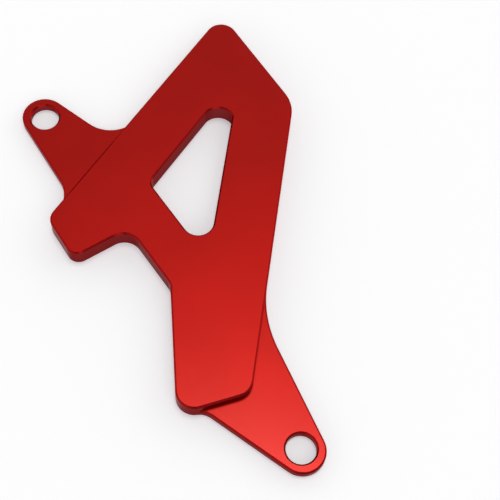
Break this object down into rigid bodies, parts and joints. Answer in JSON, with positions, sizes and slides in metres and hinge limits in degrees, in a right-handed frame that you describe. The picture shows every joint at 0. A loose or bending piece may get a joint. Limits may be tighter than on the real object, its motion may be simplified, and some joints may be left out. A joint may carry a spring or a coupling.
{
  "type": "sprocket cover",
  "caption": "Flat milled aluminium cover for a small motorbike's drive sprocket, with a leaning body, a window and a thin bolt ear at each end.",
  "frame": {"origin": "on the flat rear face, midway between the axes of the two bolt holes", "axes": "+Y from the lower bolt hole to the upper one, +Z out of the front face, +X to the side that the body leans to"},
  "size_m": [0.0668, 0.1112, 0.0048],
  "materials": {
    "red_anodised": "satin red anodised"
  },
  "bodies": {
    "root": {"sprocket_cover": "red_anodised"}
  },
  "joints": []
}
